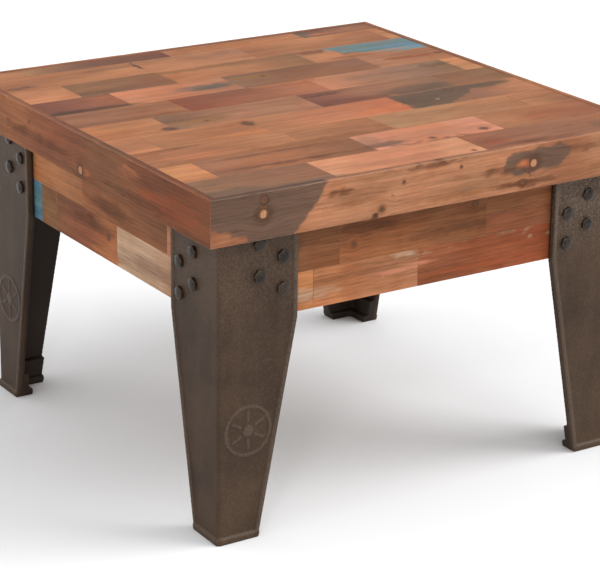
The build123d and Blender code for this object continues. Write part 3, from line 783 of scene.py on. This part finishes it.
def lofted(shape, rings):
    """Faces from ring to ring. A ring of one vertex is a point."""
    for low, high in zip(rings, rings[1:]):
        for k in range(max(len(low), len(high))):
            low_side = [low[k % len(low)], low[(k + 1) % len(low)]]
            high_side = [high[(k + 1) % len(high)], high[k % len(high)]]
            shape.faces.new(list(dict.fromkeys(low_side + high_side)))
    bmesh.ops.recalc_face_normals(shape, faces=shape.faces)


def turned(name, profile, sides, material):
    """A smooth mesh turned round Z from (radius, height) pairs."""
    shape = bmesh.new()
    lofted(shape, [ring(shape, [(radius, height)] * (sides if radius else 1)) for radius, height in profile])
    for face in shape.faces:
        face.smooth = True
    mesh = bpy.data.meshes.new(name)
    shape.to_mesh(mesh)
    shape.free()
    mesh.materials.append(material)
    return mesh


def plug_material():
    plug = Surface("plug_end_grain", 0.6, specular=0.2)
    spot = plug.attribute("from_heart", "Vector")
    wander = plug.noise(spot, (260.0, 260.0, 260.0), 3.0)
    fine = plug.noise(spot, (1500.0, 1500.0, 1500.0), 2.0)
    reach = plug.vector("LENGTH", spot, out="Value")
    rings = reach.line(3600.0, wander * 8.0).math("SINE")
    crack = (plug.split(spot)[0] * 0.5 + wander.line(0.0025, -0.001)).math("ABSOLUTE").steps(0.00035, 0.0001)
    base = plug.mix(rings.line(0.3, 0.5), (0.28, 0.115, 0.05, 1.0), (0.50, 0.25, 0.12, 1.0))
    glue_line = (reach + wander.line(0.003, -0.0015)).steps(0.0043, 0.0053)
    base = plug.mix(glue_line, base, (0.05, 0.025, 0.016, 1.0))
    base = plug.mix(crack * 0.45, base, (0.10, 0.045, 0.022, 1.0))
    base = plug.mix(fine * 0.3, base, (0.24, 0.12, 0.07, 1.0))
    return plug.finish(base, fine - crack, 0.4, 0.0004)


PLUG_WOOD = plug_material()
plug_meshes = []
for low, high in solids("edge_board_plugs"):
    size, middle = high - low, (low + high) / 2
    axis = int(np.argmin(size))
    radius = (size.sum() - size[axis]) / 4
    depth = size[axis]
    turns = [step * math.pi / 2 / PLUG_RINGS for step in range(PLUG_RINGS)]
    face = [(radius * math.cos(turn), depth + PLUG_CROWN * (math.sin(turn) - 1.0)) for turn in turns]
    plug = turned("plug", [(0, 0), (radius, 0)] + face + [(0, depth)], PLUG_SIDES, PLUG_WOOD)
    put(plug, "from_heart", "FLOAT_VECTOR", np.array([vertex.co for vertex in plug.vertices]) * (1, 1, 0))
    outward = Vector([-1.0 if k == axis else 0.0 for k in range(3)])
    foot = Vector(middle) - outward * depth / 2
    plug.transform(Matrix.Translation(foot) @ outward.to_track_quat("Z", "Y").to_matrix().to_4x4())
    plug_meshes.append(plug)
plugs = joined("edge_board_plugs_turned", plug_meshes)
show("edge_board_plugs_turned", plugs, "plug_wood", "edge_board_plugs")

# ---- Legs ------------------------------------------------------------------------------------------
# Four castings from one pattern: an L of iron plate that tapers to the foot, with a bead down each
# free edge, a plinth rim and a round mark. The sand leaves the surface pitted and every edge soft.

VOXEL = 1.3 * MM
PITS = 0.16 * MM
PIT_SCALE = 260.0
SWELL_SCALE = 45.0
PLATE = 8.0 * MM
RIM_PROUD = 3.0 * MM
RIM_TOP = 6.5 * MM
RAISED_BY = (0.5 * MM, 1.1 * MM)
DUSTY_FROM = (0.26, 0.36)
DUST = {"front_left": 0.25, "front_right": 1.0, "back_right": 0.5, "back_left": 0.35}


def iron_material():
    iron = Surface("brown_cast_iron", 0.5, specular=0.18)
    where = iron.place()
    broad = iron.noise(where, (9.0, 9.0, 9.0), 4.0, 0.6, 0.3)
    runs = iron.noise(where, (30.0, 30.0, 5.0), 4.0, 0.6)
    specks = iron.noise(where, (420.0, 420.0, 420.0), 3.0, 0.65)
    pits = iron.add("ShaderNodeTexVoronoi", {"Vector": where, "Scale": 520.0}, "Distance")
    edge = iron.add("ShaderNodeNewGeometry", out="Pointiness")
    dust = iron.attribute("dust") * specks.steps(0.42, 0.62, 0.1, 0.9)
    rub = edge.steps(0.53, 0.62).math("MAXIMUM", iron.attribute("raised") * 0.42)
    rub = rub * specks.steps(0.3, 0.6, 0.35, 1.0)
    base = iron.mix(broad.steps(0.3, 0.7), (0.031, 0.0165, 0.0085, 1.0), (0.058, 0.0325, 0.0175, 1.0))
    for share, colour in ((runs.steps(0.45, 0.75, 0.0, 0.5), (0.068, 0.038, 0.020, 1.0)),
                          (specks.steps(0.5, 0.7, 0.0, 0.35), (0.088, 0.062, 0.044, 1.0)),
                          (specks.steps(0.46, 0.3, 0.0, 0.5), (0.020, 0.013, 0.009, 1.0)),
                          (dust * 0.55, (0.165, 0.122, 0.092, 1.0)),
                          (rub * 0.5, (0.17, 0.135, 0.105, 1.0)),
                          # Painted shade: darker in hollows and creases, where pointiness is low.
                          (edge.steps(0.485, 0.43, 0.0, 0.6), (0.014, 0.009, 0.006, 1.0)),
                          # Painted shade: the inner faces of the L much darker, as if shaded.
                          (iron.attribute("inside") * 0.7, (0.012, 0.008, 0.006, 1.0))):
        base = iron.mix(share, base, colour)
    height = specks + pits.steps(0.0, 0.45) * 0.4
    return iron.finish(base, height, 0.55, 0.0005, specks.line(0.3, 0.38) - rub * 0.1)


def cast_leg():
    """The CAD leg of the front left corner with a cast skin."""
    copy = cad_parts["front_left_leg"].data.copy()
    shape = bmesh.new()
    shape.from_mesh(copy)
    bmesh.ops.remove_doubles(shape, verts=shape.verts, dist=WELD)
    shape.to_mesh(copy)
    shape.free()
    holder = bpy.data.objects.new("leg_copy", copy)
    bpy.context.scene.collection.objects.link(holder)
    skin = holder.modifiers.new("skin", "REMESH")
    skin.mode, skin.voxel_size, skin.use_smooth_shade = "VOXEL", VOXEL, True
    ease = holder.modifiers.new("ease", "SMOOTH")
    ease.factor, ease.iterations = 0.5, 1
    graph = bpy.context.evaluated_depsgraph_get()
    mesh = bpy.data.meshes.new_from_object(holder.evaluated_get(graph), depsgraph=graph)
    bpy.data.objects.remove(holder)
    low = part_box("front_left_leg")[0]
    shift, raised, inside, dust = [], [], [], []
    for vertex in mesh.vertices:
        place = vertex.co.copy()
        rise = (noise.fractal(place * PIT_SCALE, 1.0, 2.0, 3) + noise.noise(place * SWELL_SCALE)) * PITS * 0.6
        moved = place + vertex.normal * (rise - 0.25 * PITS)
        shift.append((moved.x, moved.y, max(moved.z, 0.0)))
        outer_x, outer_y = place.x - low.x - RIM_PROUD, place.y - low.y - RIM_PROUD
        raised.append(float(soft(*RAISED_BY, max(-outer_x, -outer_y)) * (0.25 if place.z < RIM_TOP else 1.0)))
        # Painted shade: marks the inner faces of the L, which the iron material paints darker as if in
        # shadow.
        inside.append(float(min(outer_x, outer_y) > PLATE * 0.6))
        dust.append(float(soft(*DUSTY_FROM, place.z)))
    mesh.vertices.foreach_set("co", np.array(shift).ravel())
    mesh.update()
    for label, values in (("raised", raised), ("inside", inside), ("dust", dust)):
        put(mesh, label, "FLOAT", values)
    mesh.materials.clear()
    mesh.materials.append(iron_material())
    return mesh


CASTING = cast_leg()
for order, corner in enumerate(CORNERS):
    leg = CASTING.copy()
    leg.name = f"{corner}_leg_casting"
    leg.transform(Matrix.Rotation(math.radians(90.0 * order), 4, "Z"))
    dust = np.zeros(len(leg.vertices), np.float32)
    leg.attributes["dust"].data.foreach_get("value", dust)
    leg.attributes["dust"].data.foreach_set("value", dust * DUST[corner])
    show(f"{corner}_leg_casting", leg, "leg_iron", f"{corner}_leg")

# ---- Bolts, nuts, washers and screws ---------------------------------------------------------------
# Dark hexagon bolts with crowned heads go through each flange, the cladding and the apron board,
# and are nutted inside. Zinc-plated countersunk screws hold the underframe.

HEX_SIDES = 24
HEAD_STEPS = 5
HEAD_FLATS = 15.0 * MM
HEAD_HEIGHT = 5.5 * MM
CROWN_RADIUS = 18.5 * MM
SHANK = 4.0 * MM
THREAD = 1.25 * MM
THREADS = 4
BOLT_TIP = THREADS * THREAD + 0.5 * MM
NUT_FLATS = 13.0 * MM
WASHER_RADIUS = 8.0 * MM
SCREW_HEAD = 4.0 * MM
SCREW_SHANK = 2.0 * MM
SCREW_TIP = 2.4 * MM
SCREW_SIDES = 16
TURN_SEED = 7


def fastener_tree():
    """A fastener set at each point, turned to its axis and drawn out to its length."""
    tree = Group("fasteners", (("Places", "Geometry"), ("Fastener", "Object"), ("Turn", "Float"),
                               ("Seed", "Int"), ("Material", "Material")))
    given = tree.given
    axis = tree.named("axis", "FLOAT_VECTOR")
    aimed = tree.add("FunctionNodeAlignRotationToVector", {"Vector": axis}, axis="Z")
    angle = tree.add("FunctionNodeRandomValue", {2: 0.0, 3: given["Turn"], "Seed": given["Seed"]},
                     data_type="FLOAT")
    turn = tree.add("FunctionNodeAxisAngleToRotation", {"Axis": (0, 0, 1), "Angle": angle})
    aimed = tree.add("FunctionNodeRotateRotation", {"Rotation": aimed, "Rotate By": turn},
                     rotation_space="LOCAL")
    shape = tree.add("GeometryNodeObjectInfo", {"Object": given["Fastener"]}, "Geometry")
    placed = tree.add("GeometryNodeInstanceOnPoints", {"Points": given["Places"], "Rotation": aimed,
                                                       "Instance": shape})
    real = tree.add("GeometryNodeRealizeInstances", {"Geometry": placed})
    stretch = tree.scale(axis, tree.named("reach", "FLOAT") * tree.named("draw", "FLOAT"))
    return tree.finish(tree.add("GeometryNodeSetPosition", {"Geometry": real, "Offset": stretch}))


FASTENER_TREE = fastener_tree()


def metal_material(name, dark, light, worn, roughness, metallic, specular=0.5):
    metal = Surface(name, roughness, metallic, specular)
    where = metal.place()
    broad = metal.noise(where, (70.0, 70.0, 70.0), 4.0, 0.6)
    fine = metal.noise(where, (900.0, 900.0, 900.0), 3.0, 0.6)
    base = metal.mix(broad.steps(0.35, 0.65), dark, light)
    base = metal.mix(metal.attribute("rub") * fine.steps(0.35, 0.6, 0.2, 0.9), base, worn)
    return metal.finish(base, fine, 0.3, 0.0003, broad.line(0.3, roughness - 0.15))


def fastener_shape():
    """An empty shape whose vertices say how far they are drawn out and how rubbed they are."""
    shape = bmesh.new()
    for label in ("draw", "rub"):
        shape.verts.layers.float.new(label)
    return shape


def pattern(name, shape):
    """Keep a shape as the pattern that the fastener tree repeats."""
    mesh = bpy.data.meshes.new(name)
    shape.to_mesh(mesh)
    shape.free()
    return bpy.data.objects.new(name, mesh)


def hexagon(flats):
    """The outer radius of a hexagon at even angles."""
    return [flats / 2 / math.cos((2 * math.pi * k / HEX_SIDES + math.pi / 6) % (math.pi / 3) - math.pi / 6)
            for k in range(HEX_SIDES)]


def bolt_shape():
    """A bolt whose seat is at 0: its crowned head goes to -Z, and its shank is drawn out along +Z."""
    shape = fastener_shape()
    reach = hexagon(HEAD_FLATS)
    rings = [ring(shape, [(0.0, -HEAD_HEIGHT)])]
    for step in reversed(range(HEAD_STEPS)):
        radii = [r * (1 - step / HEAD_STEPS) for r in reach]
        drops = [CROWN_RADIUS - math.sqrt(CROWN_RADIUS ** 2 - radius ** 2) for radius in radii]
        rings.append(ring(shape, [(radius, -max(HEAD_HEIGHT - drop, 0.5 * MM)) for radius, drop
                                  in zip(radii, drops)], rub=float(step == 0)))
    rings += [ring(shape, [(r, -0.35 * MM) for r in reach]),
              ring(shape, [(min(r, HEAD_FLATS / 2), 0.0) for r in reach]),
              ring(shape, [(SHANK, 0.0)] * HEX_SIDES)]
    rows = [(SHANK, 0.0)]
    for thread in range(THREADS):
        rows += [(SHANK * share, (thread + rise) * THREAD)
                 for share, rise in ((1, 0.1), (0.87, 0.5), (1, 0.9))]
    rings += [ring(shape, [row] * HEX_SIDES, draw=1.0) for row in rows + [(SHANK * 0.8, BOLT_TIP)]]
    lofted(shape, rings + [ring(shape, [(0.0, BOLT_TIP)], draw=1.0)])
    return shape


def collar(outline, inner, thickness):
    """A washer or a nut round Z from 0 up, from its outer radius at even angles."""
    shape = fastener_shape()
    ease = 0.3 * MM
    rows = ((ease, 0.0), (0.0, ease), (0.0, thickness - ease), (ease, thickness))
    rings = [ring(shape, [(radius - inset, z) for radius in outline], rub=float(z in (0.0, thickness)))
             for inset, z in rows]
    rings += [ring(shape, [(inner + inset, z)] * len(outline)) for inset, z in reversed(rows)]
    lofted(shape, rings + rings[:1])
    return shape


def screw_shape():
    """A countersunk screw with a cross recess: its flat head is at 0 and its point is drawn along +Z."""
    shape = fastener_shape()
    recess = [SCREW_HEAD * (0.2 if k % 4 else 0.62) for k in range(SCREW_SIDES)]
    rows = (([r * 0.3 for r in recess], 1.7 * MM, 0.0, 0.0), (recess, -0.08 * MM, 0.0, 1.0),
            ([SCREW_HEAD * 0.96] * SCREW_SIDES, -0.1 * MM, 0.0, 1.0),
            ([SCREW_HEAD] * SCREW_SIDES, 0.0, 0.0, 1.0),
            ([SCREW_SHANK] * SCREW_SIDES, 2.0 * MM, 0.0, 0.0),
            ([SCREW_SHANK] * SCREW_SIDES, 0.0, 1.0, 0.0),
            ([SCREW_SHANK * 0.2] * SCREW_SIDES, SCREW_TIP, 1.0, 0.0))
    rings = [ring(shape, [(r, z) for r in radii], draw=draw, rub=rub) for radii, z, draw, rub in rows]
    shape.faces.new(list(reversed(rings[0])))
    shape.faces.new(rings[-1])
    lofted(shape, rings)
    return shape


def fasten(name, node, made, slot, material, find, seed=TURN_SEED):
    """Put a fastener where each solid of a CAD node is. Find gives its seat, its way in and its length."""
    seats, axes, reaches = zip(*[find(low, high) for low, high in solids(node)])
    mesh = grow(name, seats, [("axis", "FLOAT_VECTOR", axes), ("reach", "FLOAT", reaches)], FASTENER_TREE,
                {"Fastener": made, "Turn": 2 * math.pi, "Seed": seed, "Material": material})
    show(name, mesh, slot, node)


def through(low, high, axis):
    """The middle of a solid's outer end, the way in, and its length."""
    outer = (low + high) / 2
    inward = np.zeros(3)
    inward[axis] = -1.0 if outer[axis] > 0 else 1.0
    outer[axis] = low[axis] if inward[axis] > 0 else high[axis]
    return outer, inward, high[axis] - low[axis]


def bolt_place(low, high):
    outer, inward, whole = through(low, high, int(np.argmax(high - low)))
    return outer + inward * HEAD_HEIGHT, inward, whole - HEAD_HEIGHT - BOLT_TIP


def flat_place(low, high):
    """A washer or a nut lies along the axis on which it is thinnest."""
    outer, inward, _ = through(low, high, int(np.argmin(high - low)))
    return outer, inward, 0.0


def screw_place(low, high):
    """A screw goes up into the slab, or out from the middle of the table."""
    axis = int(np.argmax(high - low))
    outer, inward, whole = through(low, high, axis)
    if axis == 2:
        return np.array([outer[0], outer[1], low[2]]), np.array([0.0, 0.0, 1.0]), whole - SCREW_TIP
    return outer + inward * whole, -inward, whole - SCREW_TIP


BOLT_STEEL = metal_material("dark_bolt_steel", (0.010, 0.007, 0.005, 1.0), (0.030, 0.020, 0.014, 1.0),
                            (0.065, 0.045, 0.032, 1.0), 0.26, 0.0, 0.2)
ZINC = metal_material("zinc_plate", (0.38, 0.37, 0.34, 1.0), (0.56, 0.55, 0.51, 1.0), (0.68, 0.67, 0.63, 1.0),
                      0.38, 0.9)
LEG_BOLT = pattern("leg_bolt", bolt_shape())
WASHER = pattern("washer", collar([WASHER_RADIUS] * 32, 4.2 * MM, 1.6 * MM))
NUT = pattern("nut", collar(hexagon(NUT_FLATS), 4.05 * MM, 6.8 * MM))
SCREW = pattern("screw", screw_shape())
for order, corner in enumerate(CORNERS):
    fasten(f"{corner}_bolts", f"{corner}_leg_bolts", LEG_BOLT, "bolt_steel", BOLT_STEEL, bolt_place,
           TURN_SEED + order)
for node, made, find in (("bolt_washers", WASHER, flat_place), ("bolt_nuts", NUT, flat_place),
                         ("rail_screws", SCREW, screw_place), ("cleat_screws", SCREW, screw_place),
                         ("post_screws", SCREW, screw_place)):
    fasten(f"{node}_zinc", node, made, "zinc_steel", ZINC, find)
for made in (LEG_BOLT, WASHER, NUT, SCREW):
    bpy.data.objects.remove(made)

# ---- Studio ----------------------------------------------------------------------------------------
# A pale floor that sweeps up into a backdrop, a white room, one broad soft light from the right, a
# weaker one in front, and a small one on the left for the glint on the bolt heads.

SWEEP = ((0.0, 0.0), (3.0, 0.0), (6.0, 0.0), (7.5, 0.25), (8.5, 1.0), (9.0, 2.5))
SWEEP_SIDES = 48
ROOM_STRENGTH = 1.05
AZIMUTH, ELEVATION, ROLL = math.radians(-32.80), math.radians(19.72), math.radians(0.73)
DISTANCE = 3.062
TARGET = Vector((-0.0142, -0.0306, 0.195))


def floor_material():
    floor = Surface("white_floor", 0.9, specular=0.1)
    cloud = floor.noise(floor.place(), (1.5, 1.5, 1.5), 2.0)
    return floor.finish(floor.mix(cloud, (0.755, 0.76, 0.768, 1.0), (0.775, 0.78, 0.788, 1.0)))


def stand(name, data):
    """An object in the scene."""
    made = bpy.data.objects.new(name, data)
    bpy.context.scene.collection.objects.link(made)
    return made


def soft_light(name, place, aim, size, power):
    """A square area light that faces a point."""
    lamp = stand(name, bpy.data.lights.new(name, "AREA"))
    lamp.data.size, lamp.data.energy = size, power
    lamp.location = place
    lamp.rotation_euler = (Vector(aim) - Vector(place)).to_track_quat("-Z", "Y").to_euler()


stand("studio_floor", turned("studio_floor", SWEEP, SWEEP_SIDES, floor_material()))

world = bpy.data.worlds.new("white_room")
world.use_nodes = True
room = world.node_tree.nodes["Background"].inputs
room["Color"].default_value = (1.0, 1.0, 1.0, 1.0)
room["Strength"].default_value = ROOM_STRENGTH
bpy.context.scene.world = world

key = stand("key_light", bpy.data.lights.new("key_light", "SUN"))
key.data.energy, key.data.angle = 2.1, math.radians(42.0)
key.rotation_euler = Vector((0.67, -0.33, 0.66)).to_track_quat("Z", "Y").to_euler()
soft_light("front_light", (0.6, -3.2, 1.5), (0.0, 0.0, 0.25), 1.4, 12.0)
soft_light("glint_light", (-1.7, -2.0, 1.9), (0.0, 0.0, 0.3), 0.3, 9.0)

back = Vector((math.sin(AZIMUTH) * math.cos(ELEVATION), -math.cos(AZIMUTH) * math.cos(ELEVATION),
               math.sin(ELEVATION)))
camera = stand("camera", bpy.data.cameras.new("camera"))
camera.data.lens, camera.data.sensor_width = 138.0, 36.0
camera.location = TARGET + back * DISTANCE
aimed = (-back).to_track_quat("-Z", "Y") @ Euler((0.0, 0.0, ROLL)).to_quaternion()
camera.rotation_euler = aimed.to_euler()
bpy.context.scene.camera = camera
bpy.context.scene.view_settings.view_transform = "Standard"
